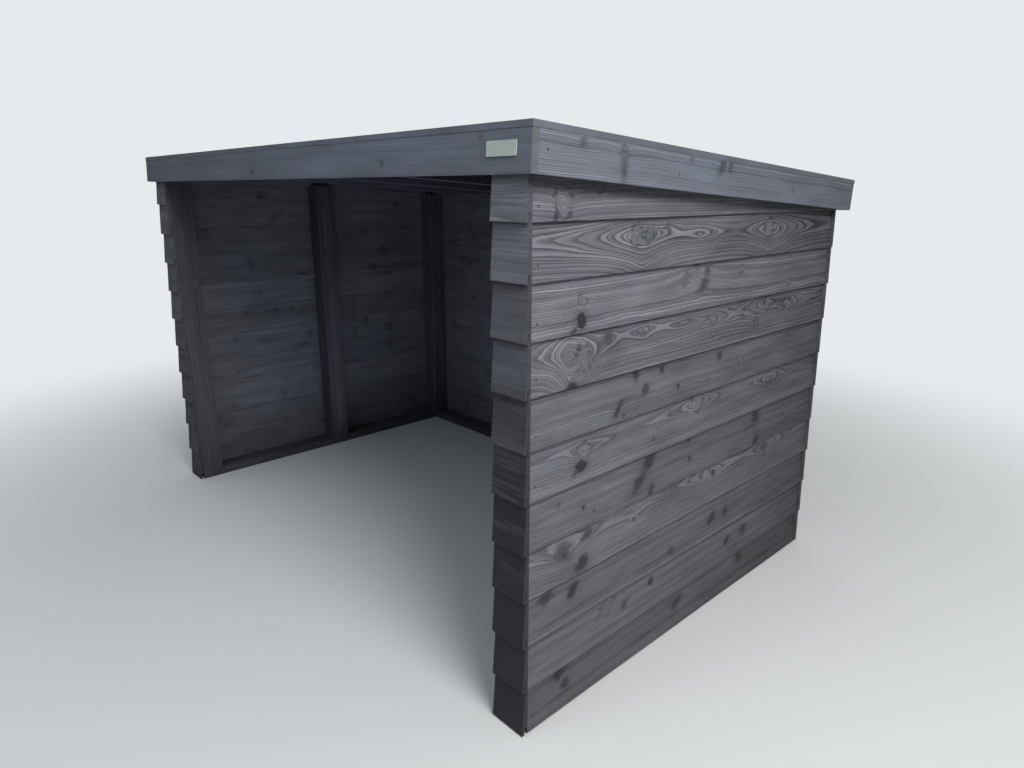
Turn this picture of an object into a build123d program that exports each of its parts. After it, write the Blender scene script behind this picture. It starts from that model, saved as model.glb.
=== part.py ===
from build123d import *
import math
import os

# A timber shelter, open along its front, 3.1 m long and 2 m deep, with a roof that falls to the back.
# It is drawn with X along the front, Y from the front to the back and Z up from the ground.
# The front face of the cladding lies at Y = 0 until the last step, which centres the whole shelter.

# Driving dimensions, in millimetres and degrees

WALL_LENGTH = 3075.0
WALL_DEPTH = 2005.0

POST_SIZE = 120.0
POST_EASE = 3.0
REAR_POSTS = 2
SOLE_HEIGHT = 45.0

BOARD_HEIGHT = 195.0
BOARD_THICK = 27.0
BOARD_TIP = 12.0
BOARD_LAP = 27.0
BOARD_PLAY = 1.0
BOARD_EASE = 2.5
GROUND_GAP = 5.0

ROOF_SLOPE = 3.58
FASCIA_UNDERSIDE_FRONT = 1813.0
FASCIA_HEIGHT = 130.0
FASCIA_THICK = 27.0
FASCIA_EASE = 1.5
FRAME_PAST_FRONT = -5.0
FRAME_PAST_SIDE = 13.5
FRAME_PAST_BACK = 12.0

BEAM_WIDTH = 95.0
BEAM_HEIGHT = 70.0
RAFTERS = 4
RAFTER_WIDTH = 45.0
DECK_THICK = 18.0
DECK_JOINT = 2.0
MEMBRANE_THICK = 2.0
TRIM_SHEET = 1.2
TRIM_LEG = 18.0
TRIM_FLANGE = 45.0

PLATE_LENGTH = 120.0
PLATE_HEIGHT = 41.0
PLATE_THICK = 3.0
PLATE_CORNER = 4.0
PLATE_FROM_END = 55.0

# Values that follow from them

half_length = WALL_LENGTH / 2
post_face_side = half_length - BOARD_THICK
post_face_front = BOARD_THICK
post_face_back = WALL_DEPTH - BOARD_THICK
board_cover = BOARD_HEIGHT - BOARD_LAP
board_taper = (BOARD_THICK - BOARD_TIP) / BOARD_HEIGHT
rebate_depth = BOARD_TIP + board_taper * BOARD_LAP + BOARD_PLAY
rebate_height = BOARD_LAP + BOARD_PLAY

fascia_front_y = -FRAME_PAST_FRONT - FASCIA_THICK
fascia_back_y = WALL_DEPTH + FRAME_PAST_BACK + FASCIA_THICK
roof_length = (fascia_back_y - fascia_front_y) / math.cos(math.radians(ROOF_SLOPE))
roof_half_width = half_length + FRAME_PAST_SIDE + FASCIA_THICK
frame_half_width = roof_half_width - FASCIA_THICK
beam_underside = FASCIA_HEIGHT - DECK_THICK - BEAM_HEIGHT
roof_top = FASCIA_HEIGHT + MEMBRANE_THICK + TRIM_SHEET

up = Vector(0, 0, 1)
to_left, to_right = Vector(-1, 0, 0), Vector(1, 0, 0)
to_front, to_back = Vector(0, -1, 0), Vector(0, 1, 0)

# The roof is laid out flat: Y along the fall from the front edge, Z up from the fascias' underside.
# This place tilts it about the lower front edge of the front fascia.
roof_place = Pos(0, fascia_front_y, FASCIA_UNDERSIDE_FRONT) * Rot(X=-ROOF_SLOPE)


def timber(low, high, ease=0.0):
    """A straight timber between two opposite corners, with its four long edges eased."""
    size = [b - a for a, b in zip(low, high)]
    block = Pos(*low) * Box(*size, align=(Align.MIN, Align.MIN, Align.MIN))
    if ease > 0:
        run = [Axis.X, Axis.Y, Axis.Z][size.index(max(size))]
        block = chamfer(block.edges().filter_by(run), ease)
    return block


def on_roof(shape):
    return roof_place * shape


def above_roof_plane(height):
    """Everything above the roof plane at this height over the fascias' underside."""
    reach = 2 * (WALL_LENGTH + WALL_DEPTH)
    block = Box(reach, reach, reach, align=(Align.CENTER, Align.CENTER, Align.MIN))
    return on_roof(Pos(0, 0, height) * block)


def beam_underside_at(y):
    """Height above the ground of the beams' underside at a distance from the front."""
    slope = math.radians(ROOF_SLOPE)
    rise = beam_underside / math.cos(slope)
    return FASCIA_UNDERSIDE_FRONT + rise - (y - fascia_front_y) * math.tan(slope)


# Posts, with their heads cut to the fall of the roof

over_posts = above_roof_plane(beam_underside)
post_top = 2 * FASCIA_UNDERSIDE_FRONT
front_post_y = post_face_front
back_post_y = post_face_back - POST_SIZE
mid_post_y = (WALL_DEPTH - POST_SIZE) / 2
right_post_x = post_face_side - POST_SIZE
left_post_x = -post_face_side


def post(x, y):
    full = timber((x, y, 0), (x + POST_SIZE, y + POST_SIZE, post_top), POST_EASE)
    return full - over_posts


rear_bay = (right_post_x - left_post_x) / (REAR_POSTS + 1)
rear_post_xs = [left_post_x + rear_bay * (i + 1) for i in range(REAR_POSTS)]


# Sole plates on the ground, let in between the posts

def soles_along_side(x):
    inner_ends = [front_post_y + POST_SIZE, mid_post_y + POST_SIZE]
    outer_ends = [mid_post_y, back_post_y]
    return [
        timber((x, start, 0), (x + POST_SIZE, end, SOLE_HEIGHT), POST_EASE)
        for start, end in zip(inner_ends, outer_ends)
    ]


def soles_along_back():
    post_xs = [left_post_x] + rear_post_xs + [right_post_x]
    return [
        timber((a + POST_SIZE, back_post_y, 0), (b, post_face_back, SOLE_HEIGHT), POST_EASE)
        for a, b in zip(post_xs, post_xs[1:])
    ]


# Lapped cladding: bevelled boards, thick below and thin above, each rebated over the one beneath

def board_section():
    """Section of one board: X outward from the posts, Y up from its lower edge."""
    outline = Polyline(
        (rebate_depth, 0),
        (BOARD_THICK, 0),
        (BOARD_TIP, BOARD_HEIGHT),
        (0, BOARD_HEIGHT),
        (0, rebate_height),
        (rebate_depth, rebate_height),
        close=True,
    )
    section = make_face(outline)
    drip_edge = section.vertices().sort_by_distance((BOARD_THICK, 0, 0))[0]
    return fillet(drip_edge, BOARD_EASE)


section = board_section()
over_boards = above_roof_plane(beam_underside - BOARD_PLAY)


def cladding(right_end, outward, length, nearest_y):
    """Boards from the ground to the roof beams; the run starts at its right end, seen from outside."""
    top = beam_underside_at(nearest_y)
    courses = math.ceil((top - GROUND_GAP - BOARD_LAP) / board_cover)
    boards = []
    for course in range(courses):
        foot = GROUND_GAP + course * board_cover
        start = Plane(
            origin=(right_end[0], right_end[1], foot),
            x_dir=outward,
            z_dir=outward.cross(up),
        )
        board = extrude(start * section, length)
        if foot + BOARD_HEIGHT > beam_underside_at(WALL_DEPTH):
            board = board - over_boards
        boards.append(board)
    return boards


side_run = post_face_back - post_face_front
return_run = POST_SIZE + BOARD_THICK


# Roof frame, laid flat: beams along the four sides and rafters down the fall

beam_top = beam_underside + BEAM_HEIGHT
frame_front = FASCIA_THICK
frame_back = roof_length - FASCIA_THICK
inner_front = frame_front + BEAM_WIDTH
inner_back = frame_back - BEAM_WIDTH


def beam_across(near):
    return timber(
        (-frame_half_width, near, beam_underside),
        (frame_half_width, near + BEAM_WIDTH, beam_top),
    )


def beam_down(left, width):
    return timber((left, inner_front, beam_underside), (left + width, inner_back, beam_top))


def rafter_left(number):
    """Left side of one rafter, with equal clear bays between the side beams."""
    clear = 2 * (frame_half_width - BEAM_WIDTH) - RAFTERS * RAFTER_WIDTH
    bay = clear / (RAFTERS + 1)
    return -frame_half_width + BEAM_WIDTH + number * bay + (number - 1) * RAFTER_WIDTH


# Roof skin: deck sheets that meet over the rafters, a membrane, and an edge trim folded over it

def deck_sheets():
    joints = [
        rafter_left(number) + RAFTER_WIDTH / 2
        for number in range(1, RAFTERS + 1)
        if number % 2 == 0
    ]
    lefts = [-frame_half_width] + [x + DECK_JOINT / 2 for x in joints]
    rights = [x - DECK_JOINT / 2 for x in joints] + [frame_half_width]
    return [
        timber((a, frame_front, beam_top), (b, frame_back, FASCIA_HEIGHT))
        for a, b in zip(lefts, rights)
    ]


def membrane():
    return timber(
        (-roof_half_width, 0, FASCIA_HEIGHT),
        (roof_half_width, roof_length, FASCIA_HEIGHT + MEMBRANE_THICK),
    )


def plan_corners(grow):
    """Corners of the roof's plan, grown by this much on every side, counter-clockwise."""
    half, near, far = roof_half_width + grow, -grow, roof_length + grow
    return [(-half, near), (half, near), (half, far), (-half, far)]


def over_plan(grow, low, high):
    near, far = plan_corners(grow)[0], plan_corners(grow)[2]
    return timber((near[0], near[1], low), (far[0], far[1], high))


def edge_trims():
    """An angle folded over the roof edge, in four lengths mitred at the corners."""
    angle = over_plan(TRIM_SHEET, roof_top - TRIM_LEG, roof_top)
    angle -= over_plan(0, 0, roof_top - TRIM_SHEET)
    angle -= over_plan(-TRIM_FLANGE, 0, 2 * roof_top)
    outer, inner = plan_corners(TRIM_SHEET), plan_corners(-TRIM_FLANGE)
    lengths = []
    for here in range(4):
        after = (here + 1) % 4
        wedge = make_face(Polyline(outer[here], outer[after], inner[after], inner[here], close=True))
        lengths.append(angle & extrude(wedge, roof_top))
    return lengths


# Fascias, standing square to the roof; the front and back ones cover the ends of the side ones

def fascia_across(near):
    return timber(
        (-roof_half_width, near, 0),
        (roof_half_width, near + FASCIA_THICK, FASCIA_HEIGHT),
        FASCIA_EASE,
    )


def fascia_down(left):
    return timber(
        (left, FASCIA_THICK, 0),
        (left + FASCIA_THICK, roof_length - FASCIA_THICK, FASCIA_HEIGHT),
        FASCIA_EASE,
    )


def front_plate():
    """A small bare plate at the middle of the front fascia's height, near its right end."""
    centre_x = roof_half_width - PLATE_FROM_END - PLATE_LENGTH / 2
    face = Plane(origin=(centre_x, 0, FASCIA_HEIGHT / 2), x_dir=to_right, z_dir=to_front)
    return extrude(face * RectangleRounded(PLATE_LENGTH, PLATE_HEIGHT, PLATE_CORNER), PLATE_THICK)


# Every node, with its solids

nodes = {
    "post_front_left": [post(left_post_x, front_post_y)],
    "post_front_right": [post(right_post_x, front_post_y)],
    "post_mid_left": [post(left_post_x, mid_post_y)],
    "post_mid_right": [post(right_post_x, mid_post_y)],
    "post_back_left": [post(left_post_x, back_post_y)],
    "post_back_right": [post(right_post_x, back_post_y)],
    "sole_left": soles_along_side(left_post_x),
    "sole_right": soles_along_side(right_post_x),
    "sole_back": soles_along_back(),
    "cladding_right": cladding((post_face_side, post_face_back), to_right, side_run, post_face_front),
    "cladding_left": cladding((-post_face_side, post_face_front), to_left, side_run, post_face_front),
    "cladding_back": cladding((-half_length, post_face_back), to_back, WALL_LENGTH, post_face_back),
    "cladding_return_right": cladding((half_length, post_face_front), to_front, return_run, 0),
    "cladding_return_left": cladding(
        (return_run - half_length, post_face_front), to_front, return_run, 0
    ),
}

roof_nodes = {
    "beam_front": [beam_across(frame_front)],
    "beam_back": [beam_across(inner_back)],
    "beam_left": [beam_down(-frame_half_width, BEAM_WIDTH)],
    "beam_right": [beam_down(frame_half_width - BEAM_WIDTH, BEAM_WIDTH)],
    "roof_deck": deck_sheets(),
    "roof_membrane": [membrane()],
    "fascia_front": [fascia_across(0)],
    "fascia_back": [fascia_across(roof_length - FASCIA_THICK)],
    "fascia_left": [fascia_down(-roof_half_width)],
    "fascia_right": [fascia_down(frame_half_width)],
    "front_plate": [front_plate()],
}
for number in range(1, RAFTERS + 1):
    roof_nodes[f"rafter_{number}"] = [beam_down(rafter_left(number), RAFTER_WIDTH)]
for side, length in zip(["front", "right", "back", "left"], edge_trims()):
    roof_nodes[f"edge_trim_{side}"] = [length]

for number, x in enumerate(rear_post_xs, start=1):
    nodes[f"post_rear_{number}"] = [post(x, back_post_y)]
for name, pieces in roof_nodes.items():
    nodes[name] = [on_roof(piece) for piece in pieces]


# The finished shelter stands with the middle of its outline over the origin

solids = {name: [s for piece in pieces for s in piece.solids()] for name, pieces in nodes.items()}
outline = Compound([solid for group in solids.values() for solid in group]).bounding_box()
to_middle = Pos(-outline.center().X, -outline.center().Y, 0)

os.makedirs("parts", exist_ok=True)
for name, group in solids.items():
    placed = [to_middle * solid for solid in group]
    shape = placed[0] if len(placed) == 1 else Compound(placed)
    export_step(shape, f"parts/{name}.step")
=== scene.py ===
import math

import bmesh
import bpy
import numpy as np
from mathutils import Matrix, Vector


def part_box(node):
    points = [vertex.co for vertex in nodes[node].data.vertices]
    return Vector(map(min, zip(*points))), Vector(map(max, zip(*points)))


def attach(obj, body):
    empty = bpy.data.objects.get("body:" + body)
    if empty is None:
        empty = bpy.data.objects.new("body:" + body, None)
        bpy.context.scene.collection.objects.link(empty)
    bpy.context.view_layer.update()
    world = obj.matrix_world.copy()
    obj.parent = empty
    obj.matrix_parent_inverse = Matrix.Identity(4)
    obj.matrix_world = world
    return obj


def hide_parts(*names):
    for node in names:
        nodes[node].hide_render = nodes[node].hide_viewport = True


# A timber shelter, open along its front. Metres: X along the front, Y towards the back, Z up.

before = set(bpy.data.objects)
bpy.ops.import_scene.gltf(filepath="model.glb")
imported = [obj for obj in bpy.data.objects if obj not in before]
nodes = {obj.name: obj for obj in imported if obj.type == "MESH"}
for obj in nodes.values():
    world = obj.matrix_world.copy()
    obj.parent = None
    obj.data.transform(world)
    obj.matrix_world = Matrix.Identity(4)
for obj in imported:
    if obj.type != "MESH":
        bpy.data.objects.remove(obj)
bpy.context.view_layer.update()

# Lapped boards: wedges, thick at the foot, where a rebate fits over the board beneath

BOARD_HEIGHT = 0.195
BOARD_LAP = 0.027
BOARD_THICK = 0.027
BOARD_TIP = 0.012
BOARD_PLAY = 0.001
BOARD_EASE = 0.0025
BOARD_TOP_EASE = 0.0008

board_cover = BOARD_HEIGHT - BOARD_LAP
board_taper = (BOARD_THICK - BOARD_TIP) / BOARD_HEIGHT
rebate_depth = BOARD_TIP + board_taper * BOARD_LAP + BOARD_PLAY
rebate_height = BOARD_LAP + BOARD_PLAY

# Boards aren't quite flat. Each wave is how far it rises and its radians to a metre: two run along the
# board and one up it. The face is set back by more than they rise, so it stays inside the plain board.

BOARD_WAVES = ((0.0006, 3.1), (0.0004, 7.7), (0.0005, 19.0))
BOARD_SET_BACK = 0.0016

# The roof falls to the back, and its fascia boards and the plate stand square to its slope

ROOF_SLOPE = math.radians(3.58)
FASCIA_HEIGHT = 0.130
FASCIA_THICK = 0.027
FASCIA_EASE = 0.0018
PLATE_HEIGHT = 0.041
PLATE_THICK = 0.003

UP = np.array([0.0, 0.0, 1.0])
ACROSS = np.array([1.0, 0.0, 0.0])
DOWN_ROOF = np.array([0.0, math.cos(ROOF_SLOPE), -math.sin(ROOF_SLOPE)])
OFF_ROOF = np.array([0.0, math.sin(ROOF_SLOPE), math.cos(ROOF_SLOPE)])

# Nails and screws: low domes, whose rings are shares of the radius and of the rise

HEAD_RADIUS = 0.0037
HEAD_DOME = ((1.0, 0.2), (0.7, 0.8), (0.12, 1.0))
HEAD_SUNK = 0.0006
HEAD_SIDES = 10
NAIL_RISE = 0.0005
SCREW_RISE = 0.0003

NAIL_HEIGHT = 0.050
NAIL_FROM_END = 0.029
NAIL_FROM_ROOF = 0.005
NAIL_SPREAD_ALONG = 0.0015
NAIL_SPREAD_UP = 0.003
CORNER_POST_REACH = 0.1

# Nails on a side fascia: distance from its front end, and height on it
FASCIA_NAILS = ((0.033, 0.064), (0.645, 0.050))
SCREW_FROM_END = 0.0080
SCREW_FROM_EDGE = 0.0078

# The photograph's camera: where it stood, and how it was aimed

CAMERA_PLACE = Vector((2.902, -2.3445, 1.771))
CAMERA_TURN = math.radians(46.81)
CAMERA_PITCH = math.radians(15.72)
CAMERA_ROLL = math.radians(0.126)
LENS_IN_PIXELS = 689.9
IMAGE_WIDTH = 1024
SENSOR_WIDTH = 36.0

# Light and floor. The sky's strength rises from the horizon's to the one that it has near the top,
# and the floor fades into the background between two distances from the middle of the shelter.

BACKGROUND = (0.80, 0.82, 0.84)
SKY_COLOUR = (0.90, 0.95, 1.0)
SKY_LOW = 0.12
SKY_HIGH = 0.80
SKY_TOP = 0.95
FLOOR_COLOUR = (0.50, 0.50, 0.49)
FLOOR_ROUGH = 0.95
FLOOR_GLOSS = 0.1
FLOOR_REACH = 60.0
FLOOR_FADE = (1.7, 5.4)
LAMPS = (
    dict(name="key", place=(4.5, -1.6, 4.4), target=(1.4, -0.3, 0.9), size=2.4, power=290.0,
         colour=(1.0, 1.0, 1.0)),
    dict(name="fill", place=(0.6, -3.9, 3.8), target=(0.9, -1.0, 1.7), size=2.0, power=32.0,
         colour=(0.76, 0.93, 1.20)),
    dict(name="inside", place=(-0.2, -0.2, 0.02), target=(-0.2, -0.2, 1.8), size=1.3, power=11.0,
         colour=(0.84, 0.94, 1.12)),
)

# Stained wood: the colours of its pits, early wood and late wood, and how strongly each part shows

BOARD_LOOK = dict(
    pit=(0.016, 0.016, 0.019), dark=(0.077, 0.078, 0.087), pale=(0.232, 0.234, 0.254),
    contrast=0.78, fibre=0.95, patch=0.80, rough=0.60, gloss=0.40, relief=0.0008,
)
RETURN_LOOK = dict(BOARD_LOOK, gloss=0.22)
FASCIA_LOOK = dict(
    BOARD_LOOK, dark=(0.090, 0.099, 0.120), pale=(0.212, 0.230, 0.270),
    contrast=0.60, fibre=0.95, patch=0.60, relief=0.0005,
)
END_LOOK = dict(
    BOARD_LOOK, pit=(0.020, 0.020, 0.023), dark=(0.045, 0.046, 0.051), pale=(0.085, 0.086, 0.094),
    contrast=0.5, fibre=0.6, relief=0.0003,
)
FASCIA_END_LOOK = dict(
    FASCIA_LOOK, dark=(0.080, 0.088, 0.104), pale=(0.150, 0.164, 0.190), contrast=0.4,
)
FRAME_LOOK = dict(
    BOARD_LOOK, pit=(0.012, 0.012, 0.014), dark=(0.030, 0.030, 0.034), pale=(0.080, 0.080, 0.086),
    contrast=0.6, relief=0.0004,
)
ROOF_TIMBER_LOOK = dict(FRAME_LOOK, dark=(0.058, 0.061, 0.072), pale=(0.130, 0.135, 0.155))

# Plain coats: colour, roughness, and for some the depth of their fine relief

NAIL_LOOK = dict(colour=(0.010, 0.010, 0.011), rough=0.6)
SCREW_LOOK = dict(colour=(0.45, 0.49, 0.54), rough=0.30, metallic=0.3)
MEMBRANE_LOOK = dict(colour=(0.045, 0.046, 0.050), rough=0.7, relief=0.0004)
TRIM_LOOK = dict(colour=(0.091, 0.100, 0.121), rough=0.38)
PLATE_LOOK = dict(colour=(0.310, 0.352, 0.312), rough=0.35, relief=0.00005, spread=0.03)


# Node graphs

class Graph:
    """A node tree being filled. Each kind of node has a method, which gives back its output."""

    def __init__(self, tree):
        self.tree = tree

    def add(self, kind, **settings):
        """Any node, with its settings. Gives back the node itself."""
        node = self.tree.nodes.new(kind)
        for name, value in settings.items():
            setattr(node, name, value)
        return node

    def put(self, value, socket):
        """Link an output to a socket, or set a constant on it."""
        if isinstance(value, bpy.types.NodeSocket):
            self.tree.links.new(value, socket)
        else:
            socket.default_value = value

    def put_all(self, values, sockets):
        for value, socket in zip(values, sockets):
            self.put(value, socket)

    def maths(self, operation, *values):
        node = self.add("ShaderNodeMath", operation=operation)
        self.put_all(values, node.inputs)
        return node.outputs[0]

    def times(self, *values):
        product = values[0]
        for value in values[1:]:
            product = self.maths("MULTIPLY", product, value)
        return product

    def plus(self, *values):
        total = values[0]
        for value in values[1:]:
            total = self.maths("ADD", total, value)
        return total

    def minus(self, value, less):
        return self.maths("SUBTRACT", value, less)

    def swing(self, value, span):
        """A noise value from 0 to 1 as a swing of span about zero."""
        return self.maths("MULTIPLY_ADD", value, span, -0.5 * span)

    def vector(self, operation, *values):
        node = self.add("ShaderNodeVectorMath", operation=operation)
        self.put_all(values, node.inputs)
        return node.outputs["Value" if operation == "LENGTH" else "Vector"]

    def noise(self, point, detail=2.0, roughness=0.5, scale=1.0):
        node = self.add("ShaderNodeTexNoise")
        node.inputs["Scale"].default_value = scale
        node.inputs["Detail"].default_value = detail
        node.inputs["Roughness"].default_value = roughness
        self.put(point, node.inputs["Vector"])
        return node.outputs["Fac"]

    def pattern(self, point, scales, detail=2.0, roughness=0.5):
        """Noise with its own scale each way."""
        return self.noise(self.vector("MULTIPLY", point, scales), detail, roughness)

    def ease(self, value, low, high, to_low=0.0, to_high=1.0):
        """A soft step between two values, level outside them."""
        node = self.add("ShaderNodeMapRange", interpolation_type="SMOOTHSTEP")
        self.put_all((value, low, high, to_low, to_high), node.inputs)
        return node.outputs["Result"]

    def fade(self, value, low, high):
        """A soft step down, from 1 to 0."""
        return self.ease(value, low, high, 1.0, 0.0)

    def mix(self, share, first, second):
        node = self.add("ShaderNodeMix", data_type="RGBA")
        self.put(share, node.inputs[0])
        colours = [(*colour, 1.0) if isinstance(colour, tuple) else colour for colour in (first, second)]
        self.put_all(colours, node.inputs[6:8])
        return node.outputs[2]

    def split(self, point):
        node = self.add("ShaderNodeSeparateXYZ")
        self.put(point, node.inputs[0])
        return node.outputs

    def join(self, *parts):
        node = self.add("ShaderNodeCombineXYZ")
        self.put_all(parts, node.inputs)
        return node.outputs[0]

    def attribute(self, name, output="Fac"):
        return self.add("ShaderNodeAttribute", attribute_name=name).outputs[output]

    def object_point(self):
        return self.add("ShaderNodeTexCoord").outputs["Object"]

    def camera_ray(self):
        return self.add("ShaderNodeLightPath").outputs["Is Camera Ray"]

    def bump(self, height, depth):
        node = self.add("ShaderNodeBump")
        node.inputs["Distance"].default_value = depth
        self.put(height, node.inputs["Height"])
        return node.outputs["Normal"]


def new_material(name):
    material = bpy.data.materials.new(name)
    material.use_nodes = True
    return material, Graph(material.node_tree), material.node_tree.nodes["Principled BSDF"]


# Wood: growth rings about a pith, bulging round knots, with fibres that follow them. Scales are to a
# metre, along the log and both ways across it. A rise or a fall is given by the step's two ends.

# Scales of the rings' wander, and how far it takes them
RING_WANDERS = (((2.2, 12.0, 12.0), 0.030), ((14.0, 70.0, 70.0), 0.0052))

# Scales to a ring, and the line of the noise that each is read on
YEAR_SCALE = 0.62
YEAR_SWING = 1.9
YEAR_LINE = 4.7
VIGOUR_SCALE = 7.31
VIGOUR_LINE = 0.5
VIGOUR_STEP = (0.25, 0.70)
VIGOUR_STRENGTH = (0.40, 1.0)

# Late wood and the dark line, as shares of a ring
LATE_RISE = (0.02, 0.66)
LATE_FALL = (0.91, 1.0)
LINE_FALL = (0.0, 0.16)

THREAD_SCALES = (9.0, 900.0, 40.0)
STREAK_SCALES = (3.0, 260.0, 20.0)
SPECK_SCALES = (130.0, 520.0, 520.0)
FIBRE_SHARES = (0.45, 0.35, 0.20)
PATCH_SCALES = (3.2, 16.0, 16.0)
TINT_SCALES = (2.1, 7.0, 9.0)

# Knots are measured in radii of their core. A firm one, black or pale, has a crisper edge, because
# its fall's two ends are moved by these amounts. A core's fibre is a least value and a span.
KNOTLESS = 9.0
LUMP_SCALES = (32.0, 40.0, 40.0)
LUMP_SWING = 1.2
CORE_FALL = (0.35, 1.55)
CORE_FIRMER = (0.70, -0.15)
HEART_SCALES = (50.0, 80.0, 80.0)
HEART_FIBRE = (0.2, 0.6)
RIM_RISE = (0.85, 1.2)
RIM_FALL = (1.25, 1.8)
RIM_BREAK_SCALES = (45.0, 45.0, 45.0)
RIM_BREAK = (0.40, 0.60)
HALO_FALL = (0.8, 3.2)
KNOT_RINGS = 3.3
KNOT_LATE_RISE = (0.0, 0.7)
KNOT_LATE_FALL = (0.8, 1.0)
KNOT_LATE_SHOWS = 0.7
KNOT_LATE_LOST = 0.6

# How far each part stands up from the surface or lies below it
LATE_HEIGHT = 0.55
FIBRE_HEIGHT = 0.45
CORE_HEIGHT = 0.25
LINE_DEPTH = 0.35
RIM_DEPTH = 0.40


def growth_rings(g, log, radius, given):
    """Late wood and the dark line after it, in narrow and wide years of uneven strength."""
    wanders = [g.swing(g.pattern(log, scales), span) for scales, span in RING_WANDERS]
    warped = g.plus(radius, given["Swell"], g.times(g.plus(*wanders), given["Curl"]))
    rings = g.maths("DIVIDE", warped, given["Ring"])
    years = g.noise(g.join(rings, YEAR_LINE, 0.0), detail=1.0, scale=YEAR_SCALE)
    ring = g.plus(rings, g.swing(years, YEAR_SWING))
    share = g.maths("FRACT", ring)
    year = g.maths("FLOOR", ring)
    vigour = g.noise(g.join(year, VIGOUR_LINE, 0.0), detail=0.0, scale=VIGOUR_SCALE)
    strength = g.ease(vigour, *VIGOUR_STEP, *VIGOUR_STRENGTH)
    late = g.times(g.ease(share, *LATE_RISE), g.fade(share, *LATE_FALL), strength)
    line = g.times(g.fade(share, *LINE_FALL), strength)
    return warped, late, line


def fibres(g, log, flow):
    """Fine threads and streaks that run with the rings, and specks."""
    parts = (
        g.pattern(flow, THREAD_SCALES, detail=3.0, roughness=0.65),
        g.pattern(flow, STREAK_SCALES, detail=3.0, roughness=0.6),
        g.pattern(log, SPECK_SCALES, detail=1.0),
    )
    return g.plus(*(g.times(part, share) for part, share in zip(parts, FIBRE_SHARES)))


def knot_parts(g, log, given):
    """A knot's core, rim, halo and own rings, with an uneven, soft outline."""
    firm = g.maths("ABSOLUTE", given["Shade"])
    lumps = g.pattern(log, LUMP_SCALES, detail=1.5)
    reach = g.plus(given["Reach"], g.swing(lumps, LUMP_SWING))
    edges = (g.plus(edge, g.times(firm, change)) for edge, change in zip(CORE_FALL, CORE_FIRMER))
    core = g.fade(reach, *edges)
    broken = g.ease(g.pattern(log, RIM_BREAK_SCALES), *RIM_BREAK)
    rim = g.times(g.ease(reach, *RIM_RISE), g.fade(reach, *RIM_FALL), broken)
    halo = g.fade(reach, *HALO_FALL)
    share = g.maths("FRACT", g.times(reach, KNOT_RINGS))
    late = g.times(g.ease(share, *KNOT_LATE_RISE), g.fade(share, *KNOT_LATE_FALL))
    shows = g.minus(KNOT_LATE_SHOWS, g.times(firm, KNOT_LATE_LOST))
    return core, rim, halo, g.times(late, core, shows)


def make_wood_group():
    """The grain at a point of a log, as one group of nodes that every piece of wood shares."""
    tree = bpy.data.node_groups.new("wood_grain", "ShaderNodeTree")
    tree.interface.new_socket(name="Log", in_out="INPUT", socket_type="NodeSocketVector")
    for name in ("Swell", "Ring", "Curl", "Reach", "Shade"):
        tree.interface.new_socket(name=name, in_out="INPUT", socket_type="NodeSocketFloat")
    g = Graph(tree)
    given = g.add("NodeGroupInput").outputs
    log = given["Log"]
    x, y, z = g.split(log)
    radius = g.vector("LENGTH", g.join(0.0, y, z))

    warped, late, line = growth_rings(g, log, radius, given)
    core, rim, halo, knot_late = knot_parts(g, log, given)
    outside = g.minus(1.0, core)
    late = g.plus(g.times(late, outside), knot_late)
    line = g.times(line, outside)
    least, span = HEART_FIBRE
    heart = g.plus(least, g.times(g.pattern(log, HEART_SCALES), span))
    fibre = g.plus(g.times(fibres(g, log, g.join(x, warped, z)), outside), g.times(heart, core))
    raised = g.plus(g.times(late, LATE_HEIGHT), g.times(fibre, FIBRE_HEIGHT), g.times(core, CORE_HEIGHT))
    sunk = g.plus(g.times(line, LINE_DEPTH), g.times(rim, RIM_DEPTH))

    leaving = dict(
        Late=late, Line=line, Fibre=fibre, Core=core, Rim=rim, Halo=halo,
        Height=g.minus(raised, sunk),
        Patch=g.pattern(log, PATCH_SCALES, detail=3.0, roughness=0.6),
        Tint=g.pattern(log, TINT_SCALES, detail=3.0),
    )
    for name in leaving:
        tree.interface.new_socket(name=name, in_out="OUTPUT", socket_type="NodeSocketFloat")
    leave = g.add("NodeGroupOutput").inputs
    for name, value in leaving.items():
        g.put(value, leave[name])
    return tree


wood_grain = make_wood_group()

# What each part of the grain adds to a share that is lowest in the pits and highest in pale wood

LINE_STAIN = -0.35
CORE_STAIN = 0.75
HALO_STAIN = -0.22
RIM_STEP = (-0.2, 0.1)
RIM_STAIN = (-0.12, -0.42)
DARK_STEP = (-0.45, 0.30)
PALE_STEP = (0.10, 1.25)
TINT_STEP = (0.3, 0.7)
COOL_TINT = (0.975, 0.99, 1.015)
WARM_TINT = (1.015, 1.0, 0.99)
FIBRE_STEP = (0.2, 0.8)
ROUGHER = 0.08
SMOOTHER = 0.06


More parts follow.
